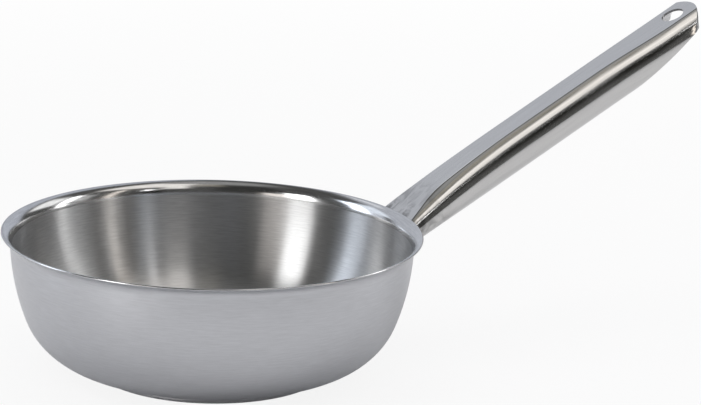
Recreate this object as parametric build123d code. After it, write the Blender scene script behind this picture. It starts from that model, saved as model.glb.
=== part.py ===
from build123d import *
import os
from math import atan2, cos, pi, radians, sin, sqrt

# Saucier pan: a flared steel bowl on a sandwich base, with one hollow tube handle welded on.
# Z is up, the origin is the middle of the base's underside, and the handle rises along X.
# Lengths are in millimetres and angles in degrees.

# Bowl: one sheet, drawn in a wide corner and an almost upright wall, then flared into a lip
inner_diameter = 240.0
rim_height = 86.0
wall = 1.2
bottom_radius = 63.7
bottom_turn = 9.6
corner_radius = 43.9
corner_end_angle = 69.2
wall_end_angle = 88.0
lip_radius = 7.5
lip_angle = 15.0

# Sandwich base: an aluminium disc closed in by a shallow steel cap
base_radius = 72.0
disc_thickness = 4.0
cap_sheet = 0.6
cap_edge_radius = 1.8
cap_rim_gap = 0.4
disc_clearance = 0.2

# Handle: a round tube pressed flat on top, spread wide at the bowl and a little at its end
handle_rise_angle = 28.67
handle_length = 256.5
handle_drop = 11.9
tube_radius = 15.75
tube_sheet = 1.5
tube_spread = 0.3
flat_height = 12.9
ridge_radius = 3.0

# Root of the handle, squashed wide and low where it meets the bowl, its flat dipping at the last
root_radius = 7.6
root_spread = 14.4
root_drop = 1.0
root_flat_height = 8.7
root_flat_dip = 3.4
root_start = 3.7
root_length = 101.0
root_dip_length = 44.3

# End of the handle: a wider flat, a hanging hole, a rounded nose and a long slanted mouth
end_radius = 14.6
end_spread = 3.1
end_drop = 0.4
end_flat_height = 11.5
end_taper_length = 65.0
end_wide_length = 21.5
nose_radius = 18.0
nose_depth = 7.5
mouth_length = 75.0
hole_radius = 7.4
hole_setback = 16.0

# Weld bead between the handle and the bowl
weld_size = 2.2
weld_tuck = 1.5
weld_clearance = 0.1

# Every cutting shape runs this far past what it cuts
overrun = 10.0

# Sizes that follow from the ones above
base_height = cap_sheet + disc_thickness
wall_outer_radius = inner_diameter / 2 + wall
rise = radians(handle_rise_angle)
root_point = Vector(wall_outer_radius, 0, rim_height - handle_drop)
handle_along = Vector(cos(rise), 0, sin(rise))
handle_up = Vector(-sin(rise), 0, cos(rise))

# How many straight steps each curve is drawn in, few enough for a light mesh
bottom_steps = 1
corner_steps = 6
wall_steps = 3
lip_steps = 4
cap_edge_steps = 2
dip_steps = 7
root_steps = 3
end_steps = 4

# A cylinder placed this way stands on its own origin
standing = (Align.CENTER, Align.CENTER, Align.MIN)


def turned_width(radius, start_angle, end_angle):
    """How far out an arc runs between two slopes."""
    return radius * (sin(radians(end_angle)) - sin(radians(start_angle)))


def turned_height(radius, start_angle, end_angle):
    """How far up an arc runs between two slopes."""
    return radius * (cos(radians(start_angle)) - cos(radians(end_angle)))


def bowl_sizes():
    """Radius of the wall's long arc, and of the flat bottom, from the height and width."""
    lip_rise = turned_height(lip_radius, wall_end_angle, lip_angle)
    below = base_height + turned_height(bottom_radius, 0, bottom_turn)
    below += turned_height(corner_radius, bottom_turn, corner_end_angle)
    wall_rise = rim_height - wall * cos(radians(lip_angle)) + lip_rise - below
    wall_radius = wall_rise / turned_height(1, corner_end_angle, wall_end_angle)
    arcs_width = turned_width(bottom_radius, 0, bottom_turn)
    arcs_width += turned_width(corner_radius, bottom_turn, corner_end_angle)
    arcs_width += turned_width(wall_radius, corner_end_angle, wall_end_angle)
    return wall_radius, wall_outer_radius - arcs_width


def stepped(arc, steps):
    """Points spread evenly along an arc, past its start."""
    return [arc @ (step / steps) for step in range(1, steps + 1)]


def bowl_outline(inset):
    """One side of the bowl's sheet, from the middle of the bottom to the edge of the lip."""
    wall_radius, flat_radius = bowl_sizes()
    height = base_height + inset
    bottom = Line((0, height), (flat_radius, height))
    low = JernArc(bottom @ 1, bottom % 1, bottom_radius - inset, bottom_turn)
    corner = JernArc(low @ 1, low % 1, corner_radius - inset, corner_end_angle - bottom_turn)
    side = JernArc(corner @ 1, corner % 1, wall_radius - inset, wall_end_angle - corner_end_angle)
    lip = JernArc(side @ 1, side % 1, lip_radius + inset, lip_angle - wall_end_angle)
    points = [bottom @ 0, bottom @ 1] + stepped(low, bottom_steps) + stepped(corner, corner_steps)
    return points + stepped(side, wall_steps) + stepped(lip, lip_steps)


def turned(points):
    """The solid that an outline in radius and height sweeps round the bowl's axis."""
    return revolve(Plane.XZ * make_face(Polyline(*points, close=True)), Axis.Z)


def bowl():
    """The drawn bowl, a sheet of even thickness with its edge cut square at the lip."""
    return turned(bowl_outline(0) + bowl_outline(wall)[::-1])


def bowl_block(grow):
    """The bowl filled up solid, grown outward, to trim what is welded to it."""
    outside = bowl_outline(-grow)
    above = rim_height + overrun
    return turned(outside + [(outside[-1].X, above), (0, above)])


def base_outline(radius, floor, top, edge):
    """A flat round body from its floor to its top, with a rounded lower edge."""
    roll = CenterArc((radius - edge, floor + edge), edge, -90, 90)
    return [(0, floor), roll @ 0] + stepped(roll, cap_edge_steps) + [(radius, top), (0, top)]


def base_cap():
    """The shallow steel cap round the disc, with its rim just short of the bowl."""
    outer = base_outline(base_radius, 0, base_height - cap_rim_gap, cap_edge_radius)
    inner_radius = base_radius - cap_sheet
    inner = base_outline(inner_radius, cap_sheet, base_height, cap_edge_radius - cap_sheet)
    return turned(outer) - turned(inner)


def base_disc():
    """The aluminium disc, seated on the cap's floor and under the bowl's flat bottom."""
    disc_radius = base_radius - cap_sheet - disc_clearance
    return turned(base_outline(disc_radius, cap_sheet, base_height, cap_edge_radius))


def eased(share):
    """A smooth step from 0 to 1."""
    share = min(max(share, 0), 1)
    return share * share * (3 - 2 * share)


def settling(share):
    """A fall from 1 to 0 that levels out at its foot."""
    share = min(max(share, 0), 1)
    return (1 - share) ** 2


def dipping(share):
    """A fall from 1 to 0, level at its top and longer at its foot."""
    share = min(max(share, 0), 1)
    return (1 - share) ** 3 * (1 + 3 * share)


def tube_form(along):
    """Radius, spread and drop of the tube's sides and height of its flat, at one place along it."""
    at_root = settling((along - root_start) / root_length)
    at_dip = dipping((along - root_start) / root_dip_length)
    taper_start = handle_length - end_wide_length - end_taper_length
    at_end = eased((along - taper_start) / end_taper_length)
    at_middle = 1 - at_root - at_end
    radius = at_middle * tube_radius + at_root * root_radius + at_end * end_radius
    spread = at_middle * tube_spread + at_root * root_spread + at_end * end_spread
    drop = at_root * root_drop + at_end * end_drop
    top = at_middle * flat_height + at_root * root_flat_height + at_end * end_flat_height
    return radius, spread, drop, top - at_dip * root_flat_dip


def tube_section(along, inset):
    """Two round sides under a flat top, with both ridges rounded, square to the handle."""
    radius, spread, drop, top = tube_form(along)
    radius = radius - inset
    flat = top + drop - inset
    ridge = ridge_radius - inset
    ridge_out = sqrt((radius - ridge) ** 2 - (flat - ridge) ** 2)
    ridge_up = flat - ridge
    meet = radius / (radius - ridge)
    half = atan2(ridge_out, ridge_up) / 2
    edge = (spread + ridge_out, flat - drop)
    shoulder = (spread + ridge_out + ridge * sin(half), ridge_up + ridge * cos(half) - drop)
    side = (spread + ridge_out * meet, ridge_up * meet - drop)
    belly_angle = (pi + 2 * half) / 2
    belly = (spread + radius * sin(belly_angle), radius * cos(belly_angle) - drop)
    low = (spread, -drop - radius)
    outline = [
        Line(mirrored(edge), edge),
        ThreePointArc(edge, shoulder, side),
        ThreePointArc(side, belly, low),
        Line(low, mirrored(low)),
        ThreePointArc(mirrored(low), mirrored(belly), mirrored(side)),
        ThreePointArc(mirrored(side), mirrored(shoulder), mirrored(edge)),
    ]
    place = Plane(root_point + handle_along * along, x_dir=(0, 1, 0), z_dir=handle_along)
    return place * make_face(Wire(outline))


def mirrored(point):
    """The same point on the other side of the handle's middle."""
    return (-point[0], point[1])


def tube_spans():
    """Start, end and number of steps of each stretch of the tube, from inside the bowl outward."""
    dip_end = root_start + root_dip_length
    root_end = root_start + root_length
    wide_start = handle_length - end_wide_length
    return [
        (-2 * tube_radius, root_start, 1),
        (root_start, dip_end, dip_steps),
        (dip_end, root_end, root_steps),
        (root_end, wide_start - end_taper_length, 1),
        (wide_start - end_taper_length, wide_start, end_steps),
        (wide_start, handle_length + overrun, 1),
    ]


def tube_block(inset):
    """The tube's outside, or its hollow: straight stretches and tapering ones end to end."""
    block = None
    for start, end, steps in tube_spans():
        places = [start + (end - start) * step / steps for step in range(steps + 1)]
        span = loft([tube_section(along, inset) for along in places], ruled=True)
        block = span if block is None else block + span
    return block


def handle_frame(along, up):
    """Plane at one place of the handle, with X along it and Z out of its flat top."""
    return Plane(root_point + handle_along * along + handle_up * up, x_dir=handle_along, z_dir=handle_up)


def nose_keep():
    """What the rounded nose leaves, seen square to the flat top."""
    half_width = 2 * (root_spread + root_radius)
    straight = handle_length - nose_radius
    sides = [
        Line((-overrun - 2 * tube_radius, half_width), (-overrun - 2 * tube_radius, -half_width)),
        Line((-overrun - 2 * tube_radius, -half_width), (straight, -half_width)),
        Line((straight, -half_width), (straight, -nose_radius)),
        ThreePointArc((straight, -nose_radius), (handle_length, 0), (straight, nose_radius)),
        Line((straight, nose_radius), (straight, half_width)),
        Line((straight, half_width), (-overrun - 2 * tube_radius, half_width)),
    ]
    return extrude(handle_frame(0, 0) * make_face(Wire(sides)), 2 * tube_radius, both=True)


def mouth_cut():
    """The long slanted cut that opens the tube's underside at its end."""
    floor = -2 * tube_radius
    nose_up = end_flat_height - nose_depth
    slope = (nose_up + tube_radius) / mouth_length
    back = handle_length - mouth_length + (floor + tube_radius) / slope
    front = handle_length + overrun
    points = [(back, floor), (front, floor), (front, nose_up + slope * overrun)]
    side = Plane(root_point, x_dir=handle_along, z_dir=(0, -1, 0))
    return extrude(side * make_face(Polyline(*points, close=True)), 2 * tube_radius, both=True)


def hanging_hole():
    """The drill that opens the hanging hole in the flat top only."""
    place = handle_frame(handle_length - hole_setback, 0)
    return place * Cylinder(hole_radius, 2 * tube_radius, align=standing)


def handle_tube():
    """The hollow handle, trimmed to the bowl, with its nose, mouth and hanging hole."""
    tube = tube_block(0) - tube_block(tube_sheet)
    tube = (tube & nose_keep()) - mouth_cut() - hanging_hole() - bowl_block(0)
    return tube


def handle_weld():
    """The bead that fills the corner between the handle's root and the bowl's wall."""
    root = tube_block(-weld_size) & nose_keep()
    bead = (root & bowl_block(weld_size)) - tube_block(0) - bowl_block(weld_clearance)
    tuck = Cylinder(rim_radius() - weld_tuck, 2 * rim_height)
    return bead & tuck


def rim_radius():
    """Outer radius of the lip, at the round of its edge."""
    return wall_outer_radius - turned_width(lip_radius, wall_end_angle, lip_angle)


def build():
    """Writes each piece to its own file."""
    os.makedirs("parts", exist_ok=True)
    pieces = {
        "bowl": bowl(),
        "base_cap": base_cap(),
        "base_disc": base_disc(),
        "handle_tube": handle_tube(),
        "handle_weld": handle_weld(),
    }
    for name, shape in pieces.items():
        export_step(shape, f"parts/{name}.step")


build()
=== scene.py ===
import math
import bpy
import bmesh
from mathutils import Matrix, Vector


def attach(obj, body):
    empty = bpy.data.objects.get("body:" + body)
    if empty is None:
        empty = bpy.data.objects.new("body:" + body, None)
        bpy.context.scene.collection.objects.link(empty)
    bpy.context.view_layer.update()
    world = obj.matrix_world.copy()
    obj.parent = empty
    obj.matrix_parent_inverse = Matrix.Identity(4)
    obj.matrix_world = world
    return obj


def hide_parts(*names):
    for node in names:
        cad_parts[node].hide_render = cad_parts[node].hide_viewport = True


# A saucier pan in stainless steel, dressed over its CAD frame.
# Z is up out of the bowl and the handle rises along X. Sizes are in metres.
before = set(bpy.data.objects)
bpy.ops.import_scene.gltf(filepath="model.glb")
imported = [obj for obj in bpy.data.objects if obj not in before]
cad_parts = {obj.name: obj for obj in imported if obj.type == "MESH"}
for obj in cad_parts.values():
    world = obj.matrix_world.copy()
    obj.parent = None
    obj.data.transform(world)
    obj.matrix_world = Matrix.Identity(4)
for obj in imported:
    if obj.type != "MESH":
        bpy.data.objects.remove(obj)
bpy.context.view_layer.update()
mm = 0.001

# Bowl
wall_outer_radius = 121.2 * mm
rim_height = 86.0 * mm
wall = 1.2 * mm
bottom_radius = 63.7 * mm
bottom_turn = 9.6
corner_radius = 43.9 * mm
corner_end_angle = 69.2
wall_end_angle = 88.0
lip_radius = 7.5 * mm
lip_angle = 15.0
lip_round_angle = 3.8

# Base
base_radius = 72.0 * mm
base_height = 4.6 * mm
cap_sheet = 0.6 * mm
cap_edge_radius = 1.8 * mm
cap_rim_gap = 0.4 * mm

# Handle
handle_rise = math.radians(28.67)
handle_length = 256.5 * mm
handle_drop = 11.9 * mm
tube_radius = 15.75 * mm
tube_sheet = 1.5 * mm
tube_spread = 0.3 * mm
flat_height = 12.9 * mm
ridge_radius = 3.0 * mm
root_radius = 7.6 * mm
root_spread = 14.4 * mm
root_drop = 1.0 * mm
root_flat_height = 8.7 * mm
root_flat_dip = 3.4 * mm
root_start = 3.7 * mm
root_length = 101.0 * mm
root_dip_length = 44.3 * mm
end_radius = 14.6 * mm
end_spread = 3.1 * mm
end_drop = 0.4 * mm
end_flat_height = 11.5 * mm
end_taper_length = 65.0 * mm
end_wide_length = 21.5 * mm
nose_radius = 18.0 * mm
nose_depth = 7.5 * mm
mouth_length = 75.0 * mm
hole_radius = 7.4 * mm
hole_setback = 16.0 * mm
handle_root = Vector((wall_outer_radius, 0, rim_height - handle_drop))
handle_along = Vector((math.cos(handle_rise), 0, math.sin(handle_rise)))
handle_up = Vector((-math.sin(handle_rise), 0, math.cos(handle_rise)))

# Meshes: the steps in a full turn or an arc, and how near to each other two points are one
bowl_steps = 288
tube_steps = 128
hole_steps = 64
floor_steps = 96
nose_steps = 32
edge_steps = 8
inner_edge_steps = 6
merge_distance = 0.01 * mm
sharp_angle = math.radians(30)

# The tube is drawn past its end and cut back, by cutters that reach well past the metal
tube_overrun = 10 * mm
cutter_reach = 30 * mm
nose_block_height = 80 * mm
trim_height = 20 * mm

# Material slots of the tube, after slot 0 for its polished outside
tube_inside_slot = 1
cut_edge_slot = 2

# Faces of the bowl with the inside's steel: those over this height that look up, those that look
# inward unless they also look well down, and those that look straight up
lip_start_height = 78.2 * mm
looks_down = -0.5
looks_up = 0.97

# Patterns in the metal. Rings: spacing, length and detail. Lines: spacing and length.
ring_patterns = ((0.5 * mm, 90 * mm, 2.0), (1.1 * mm, 14 * mm, 3.0))
line_patterns = ((0.7 * mm, 80 * mm), (1.6 * mm, 30 * mm))
line_depth = 0.02 * mm
cloud_size = 36 * mm
quarter_turn = 0.25

# Heights between which the inside's brushing gives way to the polished lip
lip_blend = {"From Min": 77 * mm, "From Max": 80.5 * mm}

# Darker patches near the weld: their size, and where along the handle they start to fade and are gone
dark_patch_size = 11 * mm
dark_patch_fade_start = 12 * mm
dark_patch_fade_end = 42 * mm
dark_patch_narrowing = (1, 1.5, 1)

# Ends for Map Range nodes: what one noise holds, what two added hold, the part of a noise that
# darkens, and a slight change either way. The last is how far the handle's roughness wavers.
one_noise = {"From Min": 0.3, "From Max": 0.7}
two_noises = {"From Min": 0.7, "From Max": 1.3}
darkened_part = {"From Min": 0.42, "From Max": 0.62}
slight_change = {"To Min": 0.96, "To Max": 1.04}
polish_change = 0.05

# Studio floor: its size, how far it lies below the pan, how white the camera sees it with its
# distance from the pan, and how much of its white the metal mirrors
floor_radius = 1.8
floor_gap = 0.05 * mm
floor_fade = {"From Min": 0.3, "From Max": 1.6, "To Min": 0.88, "To Max": 1.0}
floor_in_metal = 0.02

# Light where no soft box stands, and the even light on what mirrors nothing
room_light = (0.096, 0.096, 0.094)
even_light = (0.30, 0.30, 0.31, 1)
plain_white = (1, 1, 1, 1)

# The photograph: its width and the lens in pixels, the camera's sensor in millimetres, and how far
# the handle's plane is turned
photo_width = 701
focal_pixels = 2500
sensor_width = 36
handle_turn = math.radians(28.5)


def linear(colour):
    """A colour written as on a screen, in the linear light that Blender mixes."""
    channels = [int(colour[at:at + 2], 16) / 255 for at in (1, 3, 5)]
    light = [c / 12.92 if c <= 0.04045 else ((c + 0.055) / 1.055) ** 2.4 for c in channels]
    return (*light, 1)


def add(tree, kind, inputs=None, **settings):
    """Adds a node, gives it its settings, and fills or links its inputs.

    An input is a value, another node's output, or another node, whose first output it takes.
    """
    node = tree.nodes.new(kind)
    for name, value in settings.items():
        setattr(node, name, value)
    for name, value in (inputs or {}).items():
        if isinstance(value, bpy.types.Node):
            value = value.outputs[0]
        if isinstance(value, bpy.types.NodeSocket):
            tree.links.new(value, node.inputs[name])
        else:
            node.inputs[name].default_value = value
    return node


def bend(bm, corner, heading, radius, degrees, steps):
    """Sweeps a point of the outline round an arc, and returns its end and the new heading."""
    turn = 1 if degrees > 0 else -1
    side = Vector((-math.sin(math.radians(heading)), 0, math.cos(math.radians(heading))))
    swept = bmesh.ops.spin(bm, geom=[corner], cent=corner.co + side * radius * turn,
                           axis=(0, -1, 0), angle=math.radians(degrees), steps=steps)
    ends = [item for item in swept["geom_last"] if isinstance(item, bmesh.types.BMVert)]
    return ends[0], heading + degrees


def run(bm, corner, offset):
    """Draws a straight run of the outline from a point, and returns its end."""
    drawn = bmesh.ops.extrude_vert_indiv(bm, verts=[corner])
    drawn["verts"][0].co = corner.co + Vector(offset)
    return drawn["verts"][0]


def finish_mesh(bm, name):
    """Makes an object of a mesh, smooth apart from its sharp edges."""
    bmesh.ops.recalc_face_normals(bm, faces=bm.faces)
    mesh = bpy.data.meshes.new(name)
    for face in bm.faces:
        face.smooth = True
    bm.to_mesh(mesh)
    bm.free()
    mesh.set_sharp_from_angle(angle=sharp_angle)
    piece = bpy.data.objects.new(name, mesh)
    bpy.context.scene.collection.objects.link(piece)
    return piece


def turn_round(bm):
    """Turns the outline once round the bowl's axis."""
    bmesh.ops.spin(bm, geom=bm.verts[:] + bm.edges[:], cent=(0, 0, 0), axis=(0, 0, 1),
                   angle=math.tau, steps=bowl_steps, use_merge=True)
    bmesh.ops.remove_doubles(bm, verts=bm.verts, dist=merge_distance)


def wall_arc():
    """Radius of the wall's long arc, and of the flat bottom, as in the part's source."""
    def rise(radius, start, end):
        return radius * (math.cos(math.radians(start)) - math.cos(math.radians(end)))

    def reach(radius, start, end):
        return radius * (math.sin(math.radians(end)) - math.sin(math.radians(start)))

    below = base_height + rise(bottom_radius, 0, bottom_turn)
    below += rise(corner_radius, bottom_turn, corner_end_angle)
    top = rim_height - wall * math.cos(math.radians(lip_angle))
    top += rise(lip_radius, wall_end_angle, lip_angle)
    radius = (top - below) / rise(1, corner_end_angle, wall_end_angle)
    width = reach(bottom_radius, 0, bottom_turn)
    width += reach(corner_radius, bottom_turn, corner_end_angle)
    width += reach(radius, corner_end_angle, wall_end_angle)
    return radius, wall_outer_radius - width


def draw_bowl_side(bm, grow):
    """Draws the sheet's outline from the bottom's middle to the lip, and returns where it ends."""
    wall_radius, flat_radius = wall_arc()
    point = bm.verts.new((0, 0, base_height - grow))
    point = run(bm, point, (flat_radius, 0, 0))
    heading = 0
    # Radius of each arc, the heading that it ends at, and its steps.
    arcs = (
        (bottom_radius + grow, bottom_turn, 3),
        (corner_radius + grow, corner_end_angle, 20),
        (wall_radius + grow, wall_end_angle, 12),
        (lip_radius - grow, lip_angle + lip_round_angle, 16),
    )
    for radius, end_angle, steps in arcs:
        point, heading = bend(bm, point, heading, radius, end_angle - heading, steps)
    return point, heading


def make_bowl():
    """The drawn sheet: its outside, its rounded edge at the lip and its inside."""
    bm = bmesh.new()
    outside, heading = draw_bowl_side(bm, 0)
    bend(bm, outside, heading, wall / 2, 180, edge_steps)
    draw_bowl_side(bm, -wall)
    bmesh.ops.remove_doubles(bm, verts=bm.verts, dist=merge_distance)
    turn_round(bm)
    return finish_mesh(bm, "bowl_body")


def make_base():
    """The steel cap that closes the sandwich base in."""
    bm = bmesh.new()
    roll = cap_edge_radius
    point = bm.verts.new((0, 0, 0))
    point = run(bm, point, (base_radius - roll, 0, 0))
    point = bend(bm, point, 0, roll, 90, edge_steps)[0]
    point = run(bm, point, (0, 0, base_height - cap_rim_gap - roll))
    point = run(bm, point, (-cap_sheet, 0, 0))
    point = run(bm, point, (0, 0, roll - base_height + cap_rim_gap))
    point = bend(bm, point, -90, roll - cap_sheet, -90, inner_edge_steps)[0]
    run(bm, point, (-point.co.x, 0, 0))
    turn_round(bm)
    return finish_mesh(bm, "base_shell")


def eased(share):
    """Starts and ends level."""
    share = min(max(share, 0), 1)
    return share * share * (3 - 2 * share)


def settling(share):
    """Falls from 1 to 0 and ends level."""
    share = min(max(share, 0), 1)
    return (1 - share) ** 2


def dipping(share):
    """Falls from 1 to 0, level at both ends, and most of it early."""
    share = min(max(share, 0), 1)
    return (1 - share) ** 3 * (1 + 3 * share)


def tube_form(along):
    """Radius, spread and drop of the tube's sides and height of its flat, at one place along it."""
    at_root = settling((along - root_start) / root_length)
    at_dip = dipping((along - root_start) / root_dip_length)
    taper_start = handle_length - end_wide_length - end_taper_length
    at_end = eased((along - taper_start) / end_taper_length)
    at_middle = 1 - at_root - at_end
    radius = at_middle * tube_radius + at_root * root_radius + at_end * end_radius
    spread = at_middle * tube_spread + at_root * root_spread + at_end * end_spread
    drop = at_root * root_drop + at_end * end_drop
    top = at_middle * flat_height + at_root * root_flat_height + at_end * end_flat_height
    return radius, spread, drop, top - at_dip * root_flat_dip


def press(ring, along):
    """Moves a ring of the tube to its section at one place: two round sides under a flat top."""
    radius, spread, drop, top = tube_form(along)
    flat = top + drop
    ridge_out = math.sqrt((radius - ridge_radius) ** 2 - (flat - ridge_radius) ** 2)
    ridge_turn = math.atan2(ridge_out, flat - ridge_radius)
    # Shares of half the ring at which its flat, its ridge and its side end.
    flat_end, ridge_end, side_end = 0.20, 0.34, 0.90
    for number, vert in enumerate(ring):
        share = (number + 0.5) / len(ring) * 2 - 1
        side, place = (1 if share > 0 else -1), abs(share)
        if place < flat_end:
            across, height = (spread + ridge_out) * place / flat_end, flat
        elif place < ridge_end:
            turn = ridge_turn * (place - flat_end) / (ridge_end - flat_end)
            across = spread + ridge_out + ridge_radius * math.sin(turn)
            height = flat - ridge_radius + ridge_radius * math.cos(turn)
        elif place < side_end:
            turn = (math.pi - ridge_turn) * (place - ridge_end) / (side_end - ridge_end)
            turn += ridge_turn
            across, height = spread + radius * math.sin(turn), radius * math.cos(turn)
        else:
            across, height = spread * (1 - place) / (1 - side_end), -radius
        vert.co = handle_root + handle_along * along + handle_up * (height - drop)
        vert.co.y = side * across


def places_along():
    """Where the tube's rings stand: close together where its section changes."""
    taper_start = handle_length - end_wide_length - end_taper_length
    # Start and end of each stretch along the handle, and its steps.
    stretches = [
        (-2 * tube_radius, root_start, 1),
        (root_start, root_start + root_dip_length, 24),
        (root_start + root_dip_length, root_start + root_length, 16),
        (root_start + root_length, taper_start, 1),
        (taper_start, taper_start + end_taper_length, 20),
        (taper_start + end_taper_length, handle_length + tube_overrun, 1),
    ]
    places = [stretches[0][0]]
    for start, end, steps in stretches:
        places += [start + (end - start) * step / steps for step in range(1, steps + 1)]
    return places


def draw_tube(bm):
    """Draws the skin of the tube ring by ring."""
    ring = bmesh.ops.create_circle(bm, segments=tube_steps, radius=tube_radius)["verts"]
    edges = bm.edges[:]
    for number, along in enumerate(places_along()):
        if number:
            grown = bmesh.ops.extrude_edge_only(bm, edges=edges)["geom"]
            fresh = {item for item in grown if isinstance(item, bmesh.types.BMVert)}
            edges = [item for item in grown if isinstance(item, bmesh.types.BMEdge)
                     and item.verts[0] in fresh and item.verts[1] in fresh]
            ring = follow(ring, fresh)
        press(ring, along)


def follow(ring, fresh):
    """The new verts of an extruded ring, in the order of the old ones."""
    order = []
    for vert in ring:
        ahead = [edge.other_vert(vert) for edge in vert.link_edges]
        order.append([other for other in ahead if other in fresh][0])
    return order


def give_tube_steels(mesh):
    """Gives a mesh the tube's steels: polished outside, dull mill-finish inside painted whitish, cut
    edge.
    """
    for material in (handle_steel, tube_inside_painted_white, edge_steel):
        mesh.materials.append(material)


def make_cutter(name, build):
    """A closed shape that cuts another one and leaves cut edges behind."""
    bm = bmesh.new()
    build(bm)
    bmesh.ops.recalc_face_normals(bm, faces=bm.faces)
    for face in bm.faces:
        face.material_index = cut_edge_slot
    mesh = bpy.data.meshes.new(name)
    bm.to_mesh(mesh)
    bm.free()
    give_tube_steels(mesh)
    cutter = bpy.data.objects.new(name, mesh)
    bpy.context.scene.collection.objects.link(cutter)
    return cutter


def carve(piece, cutters):
    """Cuts a piece with closed shapes, which are then removed."""
    for cutter in cutters:
        cut = piece.modifiers.new(cutter.name, "BOOLEAN")
        cut.object = cutter
        cut.operation = "DIFFERENCE"
        cut.solver = "EXACT"
    bpy.context.view_layer.update()
    shown = piece.evaluated_get(bpy.context.evaluated_depsgraph_get())
    mesh = bpy.data.meshes.new_from_object(shown)
    piece.modifiers.clear()
    piece.data = mesh
    for cutter in cutters:
        bpy.data.objects.remove(cutter)


def handle_plane(points):
    """Points given along, across and up the handle, in the part's frame."""
    return [handle_root + handle_along * along + Vector((0, across, 0)) + handle_up * up
            for along, across, up in points]


def extrude_outline(bm, outline, way):
    """A closed prism on an outline."""
    face = bm.faces.new([bm.verts.new(point) for point in outline])
    grown = bmesh.ops.extrude_face_region(bm, geom=[face])["geom"]
    verts = [item for item in grown if isinstance(item, bmesh.types.BMVert)]
    bmesh.ops.translate(bm, verts=verts, vec=way)


def build_mouth(bm):
    """The slanted block that opens the tube's underside."""
    nose_up = end_flat_height - nose_depth
    slope = (nose_up + tube_radius) / mouth_length
    floor = -2 * tube_radius
    back = handle_length - mouth_length + (floor + tube_radius) / slope
    front = handle_length + cutter_reach
    side = [(back, floor), (front, floor), (front, nose_up + slope * cutter_reach)]
    points = [(along, -cutter_reach, up) for along, up in side]
    extrude_outline(bm, handle_plane(points), Vector((0, 2 * cutter_reach, 0)))


def build_nose(bm):
    """The block outside the handle's rounded nose."""
    straight = handle_length - nose_radius
    front = handle_length + cutter_reach
    plan = []
    for step in range(nose_steps + 1):
        turn = math.radians(-90 + 180 * step / nose_steps)
        plan.append((straight + nose_radius * math.cos(turn), nose_radius * math.sin(turn)))
    plan += [(straight, cutter_reach), (front, cutter_reach)]
    plan += [(front, -cutter_reach), (straight, -cutter_reach)]
    points = [(along, across, -nose_block_height / 2) for along, across in plan]
    extrude_outline(bm, handle_plane(points), handle_up * nose_block_height)


def build_hole(bm):
    """The drill of the hanging hole, through the flat top only."""
    made = bmesh.ops.create_cone(bm, cap_ends=True, segments=hole_steps, radius1=hole_radius,
                                 radius2=hole_radius, depth=2 * tube_radius)
    turned = Matrix((handle_along, (0, 1, 0), handle_up)).transposed().to_4x4()
    place = Matrix.Translation(handle_plane([(handle_length - hole_setback, 0, tube_radius)])[0])
    bmesh.ops.transform(bm, matrix=place @ turned, verts=made["verts"])


def build_bowl_block(bm):
    """The bowl's outside filled up solid, to trim what is welded to it."""
    tip = draw_bowl_side(bm, 0)[0]
    above = run(bm, tip, (0, 0, trim_height))
    run(bm, above, (-above.co.x, 0, 0))
    turn_round(bm)


def make_handle():
    """The hollow tube, open at its slanted mouth, with its nose rounded and its hole drilled."""
    bm = bmesh.new()
    draw_tube(bm)
    handle = finish_mesh(bm, "handle_body")
    give_tube_steels(handle.data)
    sheet = handle.modifiers.new("sheet", "SOLIDIFY")
    sheet.material_offset = tube_inside_slot
    sheet.thickness = tube_sheet
    sheet.offset = -1
    sheet.use_even_offset = True
    cutters = [make_cutter("mouth", build_mouth), make_cutter("nose", build_nose),
               make_cutter("hole", build_hole), make_cutter("trim", build_bowl_block)]
    carve(handle, cutters)
    handle.data.set_sharp_from_angle(angle=sharp_angle)
    return handle


def new_material(name):
    """An empty material and its node tree."""
    material = bpy.data.materials.new(name)
    material.use_nodes = True
    material.node_tree.nodes.clear()
    return material, material.node_tree


def round_places(tree):
    """A point of the piece, its turn, radius and height about the bowl's axis, and the way round."""
    place = add(tree, "ShaderNodeTexCoord").outputs["Object"]
    parts = add(tree, "ShaderNodeSeparateXYZ", {"Vector": place}).outputs
    turn = add(tree, "ShaderNodeMath", {0: parts["Y"], 1: parts["X"]}, operation="ARCTAN2")
    flat = add(tree, "ShaderNodeCombineXYZ", {"X": parts["X"], "Y": parts["Y"]})
    radius = add(tree, "ShaderNodeVectorMath", {0: flat}, operation="LENGTH").outputs["Value"]
    around = add(tree, "ShaderNodeVectorMath", {0: (0, 0, 1), 1: place}, operation="CROSS_PRODUCT")
    tangent = add(tree, "ShaderNodeVectorMath", {0: around}, operation="NORMALIZE")
    return place, turn, radius, parts["Z"], tangent


def finish_metal(tree, lines, bump, look):
    """Gives metal the relief of its fine lines, and draws its reflections out across them."""
    relief = add(tree, "ShaderNodeBump", {"Height": lines, "Strength": bump, "Distance": line_depth})
    surface = add(tree, "ShaderNodeBsdfPrincipled",
                  {"Normal": relief, "Anisotropic Rotation": quarter_turn, **look})
    add(tree, "ShaderNodeOutputMaterial", {"Surface": surface})


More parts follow.
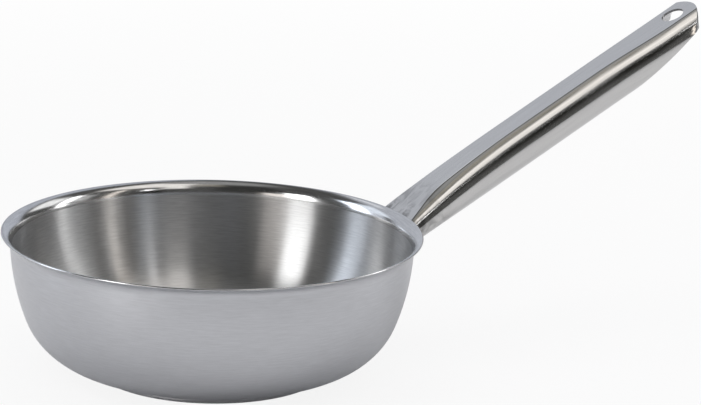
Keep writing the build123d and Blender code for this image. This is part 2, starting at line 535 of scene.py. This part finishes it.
def turned_metal(name, colour, roughness, anisotropy, grain, bump, lip=None):
    """Metal ground or brushed while it turns: fine rings round the bowl's axis.

    A polished lip has its own roughness and anisotropy, which are blended in with height.
    The real grinding lines are taken as 0.05 mm apart, and a pixel of the photograph is 0.6 mm.
    So they are drawn coarser, 0.5 mm and 1.1 mm apart, to show at all.
    """
    material, tree = new_material(name)
    place, turn, radius, height, tangent = round_places(tree)
    across = add(tree, "ShaderNodeMath", {0: radius, 1: height}, operation="ADD")
    noises = []
    for spacing, length, detail in ring_patterns:
        rings = add(tree, "ShaderNodeMath", {0: across, 1: 1 / spacing}, operation="MULTIPLY")
        slow = wall_outer_radius / length
        round_way = add(tree, "ShaderNodeMath", {0: turn, 1: slow}, operation="MULTIPLY")
        spot = add(tree, "ShaderNodeCombineXYZ", {"X": rings, "Y": round_way})
        noises.append(add(tree, "ShaderNodeTexNoise",
                          {"Vector": spot, "Scale": 1.0, "Detail": detail, "Roughness": 0.7}))
    lines, streaks = noises
    clouds = add(tree, "ShaderNodeTexNoise", {"Vector": place, "Scale": 1 / cloud_size, "Detail": 3.0})
    mixed = add(tree, "ShaderNodeMath", {0: streaks, 1: clouds}, operation="ADD")
    even, stretch = roughness, anisotropy
    if lip:
        blend = {"Value": height, **lip_blend}
        even = add(tree, "ShaderNodeMapRange", {**blend, "To Min": roughness, "To Max": lip[0]})
        stretch = add(tree, "ShaderNodeMapRange", {**blend, "To Min": anisotropy, "To Max": lip[1]})
    waver = add(tree, "ShaderNodeMapRange", {"Value": mixed, **two_noises, **slight_change})
    rough = add(tree, "ShaderNodeMath", {0: even, 1: waver}, operation="MULTIPLY")
    tone = add(tree, "ShaderNodeMapRange",
               {"Value": streaks, **one_noise, "To Min": 1 - grain, "To Max": 1 + grain})
    shade = add(tree, "ShaderNodeVectorMath", {0: linear(colour)[:3], "Scale": tone}, operation="SCALE")
    finish_metal(tree, lines, bump, {"Base Color": shade, "Metallic": 1.0, "Roughness": rough,
                                     "Anisotropic": stretch, "Tangent": tangent})
    return material


def drawn_metal(name, colour, roughness, anisotropy, bump, dark_patching=0.0, metal=1.0):
    """Metal polished along the handle: long fine lines, and its colour darker in patches near the weld.

    The real polishing lines are taken as 0.02 mm apart. They are drawn coarser, 0.7 mm and
    1.6 mm apart, to show at all.
    """
    material, tree = new_material(name)
    place = add(tree, "ShaderNodeTexCoord").outputs["Object"]
    turned = add(tree, "ShaderNodeMapping", {"Vector": place, "Rotation": (0, handle_rise, 0)})
    noises = []
    for spacing, length in line_patterns:
        scale = (1 / length, 1 / spacing, 1 / spacing)
        long_lines = add(tree, "ShaderNodeMapping", {"Vector": turned, "Scale": scale})
        noises.append(add(tree, "ShaderNodeTexNoise",
                          {"Vector": long_lines, "Scale": 1.0, "Detail": 4.0, "Roughness": 0.65}))
    lines, streaks = noises
    clouds = add(tree, "ShaderNodeTexNoise", {"Vector": turned, "Scale": 1 / cloud_size, "Detail": 2.0})
    mixed = add(tree, "ShaderNodeMath", {0: streaks, 1: clouds}, operation="ADD")
    rough = add(tree, "ShaderNodeMapRange",
                {"Value": mixed, **two_noises,
                 "To Min": roughness - polish_change, "To Max": roughness + polish_change})
    tone = add(tree, "ShaderNodeMapRange", {"Value": streaks, **one_noise, **slight_change})
    root = handle_root.dot(handle_along)
    along_place = add(tree, "ShaderNodeSeparateXYZ", {"Vector": turned}).outputs["X"]
    # The colour is darker in noisy patches near the weld and fades out along the handle.
    near = add(tree, "ShaderNodeMapRange",
               {"Value": along_place, "From Min": root + dark_patch_fade_start,
                "From Max": root + dark_patch_fade_end, "To Min": dark_patching, "To Max": 0.0})
    patch_space = add(tree, "ShaderNodeMapping", {"Vector": turned, "Scale": dark_patch_narrowing})
    patch_noise = add(tree, "ShaderNodeTexNoise",
                {"Vector": patch_space, "Scale": 1 / dark_patch_size, "Detail": 4.0, "Distortion": 0.8})
    patch = add(tree, "ShaderNodeMapRange", {"Value": patch_noise, **darkened_part})
    darkening = add(tree, "ShaderNodeMath", {0: patch, 1: near}, operation="MULTIPLY")
    kept = add(tree, "ShaderNodeMath", {0: 1.0, 1: darkening}, operation="SUBTRACT")
    share = add(tree, "ShaderNodeMath", {0: tone, 1: kept}, operation="MULTIPLY")
    shade = add(tree, "ShaderNodeVectorMath", {0: linear(colour)[:3], "Scale": share}, operation="SCALE")
    along = add(tree, "ShaderNodeCombineXYZ", {"X": handle_along.x, "Y": 0.0, "Z": handle_along.z})
    finish_metal(tree, lines, bump, {"Base Color": shade, "Metallic": metal, "Roughness": rough,
                                     "Anisotropic": anisotropy, "Tangent": along})
    return material


# Stainless steel, deep drawn and satin ground: a calm grey with wide, soft reflections.
outside_steel = turned_metal("bowl_outside_satin_steel", "#cbcccf",
                             roughness=0.30, anisotropy=0.5, grain=0.06, bump=0.08)
# Stainless steel, brushed round and round inside: reflections drawn out into upright bands, over
# faint rings. Its lip is polished, so it mirrors the room more sharply.
inside_steel = turned_metal("bowl_inside_brushed_steel", "#d2d2d2",
                            roughness=0.30, anisotropy=1.0, grain=0.12, bump=0.0, lip=(0.16, 0.3))
# Magnetic stainless steel, pressed and satin ground: duller and more even than the bowl.
base_steel = turned_metal("base_satin_steel", "#ececee",
                          roughness=0.38, anisotropy=0.4, grain=0.03, bump=0.15)
# Aluminium, faced on a lathe: whiter and softer than the steel. It only shows in the base's
# groove.
disc_aluminium = turned_metal("disc_faced_aluminium", "#dfe0e2",
                              roughness=0.42, anisotropy=0.3, grain=0.04, bump=0.10)
# Stainless steel tube, formed and polished along its length: near a mirror, with long crisp
# bands, and its colour darker in patches near the weld, fading out along the handle.
handle_steel = drawn_metal("handle_polished_steel", "#d6d5d3",
                           roughness=0.13, anisotropy=0.3, bump=0.12, dark_patching=0.55)
# Stainless steel as it left the mill, inside the tube: dull, with a matt share. Its whitish colour
# is painted light, so that the hole and the open end show white as if bright light lay behind them.
tube_inside_painted_white = drawn_metal("tube_inside_steel_painted_white", "#e6e6e6",
                         roughness=0.45, anisotropy=0.0, bump=0.10, metal=0.6)
# Stainless steel where the sheet was cut and deburred: a thin, dull, darker line.
edge_steel = drawn_metal("sheet_cut_edge_steel", "#8c8c8d",
                         roughness=0.40, anisotropy=0.0, bump=0.10)
# Stainless weld metal, ground over: a soft shine, less even than the polished tube.
weld_steel = drawn_metal("weld_ground_steel", "#c8c8c9",
                         roughness=0.26, anisotropy=0.0, bump=0.3)

bowl_body = make_bowl()
base_shell = make_base()
handle_body = make_handle()

for material in (outside_steel, inside_steel):
    bowl_body.data.materials.append(material)
for face in bowl_body.data.polygons:
    outward = face.normal.dot(Vector((face.center.x, face.center.y, 0)).normalized())
    above_lip = face.center.z > lip_start_height and face.normal.z > 0
    faces_in = outward < 0 and face.normal.z > looks_down or face.normal.z > looks_up
    face.material_index = 1 if above_lip or faces_in else 0
base_shell.data.materials.append(base_steel)

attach(bowl_body, "root")
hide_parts("bowl")
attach(base_shell, "root")
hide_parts("base_cap")
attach(handle_body, "root")
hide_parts("handle_tube")
for solid, material in (("handle_weld", weld_steel), ("base_disc", disc_aluminium)):
    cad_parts[solid].data.materials.clear()
    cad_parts[solid].data.materials.append(material)


def make_floor():
    """A wide sheet of paper, shown nearly white to the camera but still taking the pan's shadow."""
    bm = bmesh.new()
    bmesh.ops.create_circle(bm, cap_ends=True, segments=floor_steps, radius=floor_radius)
    floor = finish_mesh(bm, "studio_floor")
    floor.data.transform(Matrix.Translation((0, 0, -floor_gap)))
    # White background paper from a roll: matt, so it takes a soft shadow and no highlight.
    material, tree = new_material("floor_white_paper")
    rays = add(tree, "ShaderNodeLightPath").outputs
    place = add(tree, "ShaderNodeTexCoord").outputs["Object"]
    away = add(tree, "ShaderNodeVectorMath", {0: place}, operation="LENGTH").outputs["Value"]
    fade = add(tree, "ShaderNodeMapRange", {"Value": away, **floor_fade})
    seen = add(tree, "ShaderNodeMath", {0: rays["Is Camera Ray"], 1: fade}, operation="MULTIPLY")
    mirrored = add(tree, "ShaderNodeMath", {0: rays["Is Glossy Ray"], 1: floor_in_metal},
                   operation="MULTIPLY")
    share = add(tree, "ShaderNodeMath", {0: seen, 1: mirrored}, operation="ADD")
    paper = add(tree, "ShaderNodeBsdfDiffuse", {"Color": linear("#eeeeef")})
    bright = add(tree, "ShaderNodeEmission", {"Color": plain_white, "Strength": 1.0})
    shown = add(tree, "ShaderNodeMixShader", {0: share, 1: paper, 2: bright})
    add(tree, "ShaderNodeOutputMaterial", {"Surface": shown})
    floor.data.materials.append(material)


# Soft boxes of the studio: from and to azimuth, from and to elevation, softness, all in degrees,
# then strength and colour. Azimuth 0 is over the camera, and it grows to the camera's right.
# A negative strength is a dark card, which takes light away from what lies behind it.
soft_boxes = [
    (-59, -42.8, -40, 34, 1.2, 4.60, "#ffffff"),
    (-43, -26.5, -40, 22, 1.5, 1.50, "#f4ece6"),
    (-101, -86, -40, 38, 1.5, 3.40, "#e8f0fc"),
    (-116, -102, -40, 16, 3, 0.80, "#e8eefa"),
    (-124, -101, 16, 40, 3, 1.20, "#e8f0fc"),
    (65.6, 70.4, -40, 45, 1, 1.75, "#f6ece2"),
    (43, 48.5, 30, 36, 1, 5.40, "#f4f3f4"),
    (84, 101, -20, 36, 4, 0.50, "#ffffff"),
    (99, 107.5, -40, 40, 1.5, 4.20, "#ffffff"),
    (113, 140, 20, 41, 3, 1.20, "#ffffff"),
    (24, 104, 51, 75, 3, 1.12, "#fffaf5"),
    (-5, 20, 54, 74, 3, 0.26, "#fff6e2"),
    (21, 38, 36, 52, 3, 1.10, "#fffbf7"),
    (-180, 180, 73, 95, 5, 0.27, "#ffffff"),
    (147, 180, -3, 64, 4, 0.60, "#e2e8f6"),
    (-180, -124, -9, 50, 5, 0.62, "#e4e9f5"),
    (-153, -138, 38, 50, 2, 0.40, "#ffffff"),
    (-48, 2, 14, 66, 6, -0.05, "#ffffff"),
    (34, 47, 3, 26, 3, -0.078, "#ffffff"),
]


def make_world():
    """The soft boxes, for what mirrors them. Matt things get even light, the camera sees white."""
    world = bpy.data.worlds.new("soft_studio")
    bpy.context.scene.world = world
    world.use_nodes = True
    tree = world.node_tree
    tree.nodes.clear()
    way = add(tree, "ShaderNodeTexCoord").outputs["Generated"]
    turned = add(tree, "ShaderNodeVectorRotate", {"Vector": way, "Angle": handle_turn},
                 rotation_type="Z_AXIS")
    parts = add(tree, "ShaderNodeSeparateXYZ", {"Vector": turned}).outputs
    back = add(tree, "ShaderNodeMath", {0: parts["Y"], 1: -1.0}, operation="MULTIPLY")
    azimuth = add(tree, "ShaderNodeMath", {0: parts["X"], 1: back}, operation="ARCTAN2")
    elevation = add(tree, "ShaderNodeMath", {0: parts["Z"]}, operation="ARCSINE")
    rising = {"To Min": 0.0, "To Max": 1.0}
    falling = {"To Min": 1.0, "To Max": 0.0}
    light = room_light
    for az_from, az_to, el_from, el_to, soft, strength, colour in soft_boxes:
        edges = ((azimuth, az_from, rising), (azimuth, az_to, falling),
                 (elevation, el_from, rising), (elevation, el_to, falling))
        share = strength
        for angle, edge, ends in edges:
            low, high = math.radians(edge - soft), math.radians(edge + soft)
            inside = add(tree, "ShaderNodeMapRange",
                         {"Value": angle, "From Min": low, "From Max": high, **ends},
                         interpolation_type="SMOOTHSTEP")
            share = add(tree, "ShaderNodeMath", {0: share, 1: inside}, operation="MULTIPLY")
        lit = add(tree, "ShaderNodeVectorMath", {0: linear(colour)[:3], "Scale": share},
                  operation="SCALE")
        light = add(tree, "ShaderNodeVectorMath", {0: light, 1: lit})
    rays = add(tree, "ShaderNodeLightPath").outputs
    studio = add(tree, "ShaderNodeBackground", {"Color": light, "Strength": 1.0})
    even = add(tree, "ShaderNodeBackground", {"Color": even_light, "Strength": 1.0})
    white = add(tree, "ShaderNodeBackground", {"Color": plain_white, "Strength": 1.0})
    lit = add(tree, "ShaderNodeMixShader", {0: rays["Is Glossy Ray"], 1: even, 2: studio})
    shown = add(tree, "ShaderNodeMixShader", {0: rays["Is Camera Ray"], 1: lit, 2: white})
    add(tree, "ShaderNodeOutputWorld", {"Surface": shown})


def make_lamp(name, size, power, place):
    """A soft lamp aimed at the pan, left out of the reflections, which the soft boxes give."""
    light = bpy.data.lights.new(name, "AREA")
    light.size = size
    light.energy = power
    lamp = bpy.data.objects.new(name, light)
    aim = Vector(place).to_track_quat("Z", "Y").to_matrix().to_4x4()
    lamp.matrix_world = Matrix.Translation(place) @ aim
    lamp.visible_glossy = False
    bpy.context.scene.collection.objects.link(lamp)


def make_camera():
    """The camera at the photograph's place, found by fitting the rim, the base and the handle."""
    pitch, roll = math.radians(14.30488), math.radians(1.98406)
    distance, right_shift, up_shift = 1525.14 * mm, 81.956 * mm, 102.619 * mm
    ahead = Vector((0, math.cos(pitch), -math.sin(pitch)))
    level_up = Vector((0, math.sin(pitch), math.cos(pitch)))
    level_right = Vector((1, 0, 0))
    right = math.cos(roll) * level_right + math.sin(roll) * level_up
    up = -math.sin(roll) * level_right + math.cos(roll) * level_up
    place = -ahead * distance + level_right * right_shift + level_up * up_shift
    spin = Matrix.Rotation(-handle_turn, 3, "Z")
    axes = Matrix((spin @ right, spin @ up, spin @ -ahead)).transposed()
    lens = bpy.data.cameras.new("photo_camera")
    lens.sensor_width = sensor_width
    lens.lens = sensor_width * focal_pixels / photo_width
    camera = bpy.data.objects.new("photo_camera", lens)
    camera.matrix_world = Matrix.Translation(spin @ place) @ axes.to_4x4()
    bpy.context.scene.collection.objects.link(camera)
    bpy.context.scene.camera = camera


# Soft lamps: name, width in metres, power in watts, and place.
soft_lamps = [
    ("overhead_soft_lamp", 1.6, 10.5, (0.1, 0.2, 1.8)),
    ("front_soft_lamp", 1.0, 2, (-0.62, -1.14, 1.35)),
    ("left_soft_lamp", 0.8, 4.6, (-1.0, -0.03, 0.9)),
    ("right_soft_lamp", 0.8, 3, (1.0, -0.33, 0.9)),
]

make_floor()
make_world()
for lamp in soft_lamps:
    make_lamp(*lamp)
make_camera()
bpy.context.scene.view_settings.view_transform = "Standard"
